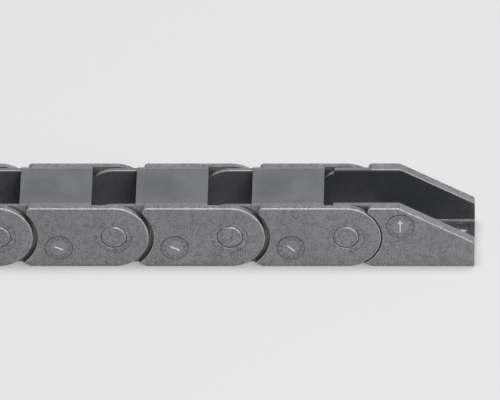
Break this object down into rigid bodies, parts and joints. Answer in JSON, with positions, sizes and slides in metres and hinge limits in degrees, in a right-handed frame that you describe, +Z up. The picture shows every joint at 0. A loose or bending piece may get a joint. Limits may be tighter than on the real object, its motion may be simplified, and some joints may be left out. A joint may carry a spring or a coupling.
{
  "type": "cable drag chain",
  "caption": "Chain of snap-together closed links that carries cables and curls one way to a set radius, with an open screw-down bracket at each end.",
  "frame": {"origin": "middle of the straight chain's underside", "axes": "+X along the chain towards the fixed end bracket, +Y across the chain, +Z up, away from the brackets' mounting faces"},
  "size_m": [0.6668, 0.023, 0.02],
  "materials": {
    "grey_nylon": "injection-moulded grey nylon, fine matte grain"
  },
  "bodies": {
    "fixed_end_bracket": {"fixed_end_bracket": "grey_nylon"},
    "link_01": {"link_01": "grey_nylon"},
    "link_02": {"link_02": "grey_nylon"},
    "link_03": {"link_03": "grey_nylon"},
    "link_04": {"link_04": "grey_nylon"},
    "link_05": {"link_05": "grey_nylon"},
    "link_06": {"link_06": "grey_nylon"},
    "link_07": {"link_07": "grey_nylon"},
    "link_08": {"link_08": "grey_nylon"},
    "link_09": {"link_09": "grey_nylon"},
    "link_10": {"link_10": "grey_nylon"},
    "link_11": {"link_11": "grey_nylon"},
    "link_12": {"link_12": "grey_nylon"},
    "link_13": {"link_13": "grey_nylon"},
    "link_14": {"link_14": "grey_nylon"},
    "link_15": {"link_15": "grey_nylon"},
    "link_16": {"link_16": "grey_nylon"},
    "link_17": {"link_17": "grey_nylon"},
    "link_18": {"link_18": "grey_nylon"},
    "moving_end_bracket": {"moving_end_bracket": "grey_nylon"}
  },
  "joints": [
    {"name": "hinge_01", "type": "hinge", "parent": "fixed_end_bracket", "child": "link_01", "pos_m": [0.297, 0, 0.01], "axis": [0, 1, 0], "range_deg": [0, 15.17]},
    {"name": "hinge_02", "type": "hinge", "parent": "link_01", "child": "link_02", "pos_m": [0.264, 0, 0.01], "axis": [0, 1, 0], "range_deg": [0, 15.17]},
    {"name": "hinge_03", "type": "hinge", "parent": "link_02", "child": "link_03", "pos_m": [0.231, 0, 0.01], "axis": [0, 1, 0], "range_deg": [0, 15.17]},
    {"name": "hinge_04", "type": "hinge", "parent": "link_03", "child": "link_04", "pos_m": [0.198, 0, 0.01], "axis": [0, 1, 0], "range_deg": [0, 15.17]},
    {"name": "hinge_05", "type": "hinge", "parent": "link_04", "child": "link_05", "pos_m": [0.165, 0, 0.01], "axis": [0, 1, 0], "range_deg": [0, 15.17]},
    {"name": "hinge_06", "type": "hinge", "parent": "link_05", "child": "link_06", "pos_m": [0.132, 0, 0.01], "axis": [0, 1, 0], "range_deg": [0, 15.17]},
    {"name": "hinge_07", "type": "hinge", "parent": "link_06", "child": "link_07", "pos_m": [0.099, 0, 0.01], "axis": [0, 1, 0], "range_deg": [0, 15.17]},
    {"name": "hinge_08", "type": "hinge", "parent": "link_07", "child": "link_08", "pos_m": [0.066, 0, 0.01], "axis": [0, 1, 0], "range_deg": [0, 15.17]},
    {"name": "hinge_09", "type": "hinge", "parent": "link_08", "child": "link_09", "pos_m": [0.033, 0, 0.01], "axis": [0, 1, 0], "range_deg": [0, 15.17]},
    {"name": "hinge_10", "type": "hinge", "parent": "link_09", "child": "link_10", "pos_m": [0, 0, 0.01], "axis": [0, 1, 0], "range_deg": [0, 15.17]},
    {"name": "hinge_11", "type": "hinge", "parent": "link_10", "child": "link_11", "pos_m": [-0.033, 0, 0.01], "axis": [0, 1, 0], "range_deg": [0, 15.17]},
    {"name": "hinge_12", "type": "hinge", "parent": "link_11", "child": "link_12", "pos_m": [-0.066, 0, 0.01], "axis": [0, 1, 0], "range_deg": [0, 15.17]},
    {"name": "hinge_13", "type": "hinge", "parent": "link_12", "child": "link_13", "pos_m": [-0.099, 0, 0.01], "axis": [0, 1, 0], "range_deg": [0, 15.17]},
    {"name": "hinge_14", "type": "hinge", "parent": "link_13", "child": "link_14", "pos_m": [-0.132, 0, 0.01], "axis": [0, 1, 0], "range_deg": [0, 15.17]},
    {"name": "hinge_15", "type": "hinge", "parent": "link_14", "child": "link_15", "pos_m": [-0.165, 0, 0.01], "axis": [0, 1, 0], "range_deg": [0, 15.17]},
    {"name": "hinge_16", "type": "hinge", "parent": "link_15", "child": "link_16", "pos_m": [-0.198, 0, 0.01], "axis": [0, 1, 0], "range_deg": [0, 15.17]},
    {"name": "hinge_17", "type": "hinge", "parent": "link_16", "child": "link_17", "pos_m": [-0.231, 0, 0.01], "axis": [0, 1, 0], "range_deg": [0, 15.17]},
    {"name": "hinge_18", "type": "hinge", "parent": "link_17", "child": "link_18", "pos_m": [-0.264, 0, 0.01], "axis": [0, 1, 0], "range_deg": [0, 15.17]},
    {"name": "hinge_19", "type": "hinge", "parent": "link_18", "child": "moving_end_bracket", "pos_m": [-0.297, 0, 0.01], "axis": [0, 1, 0], "range_deg": [0, 15.17]}
  ]
}
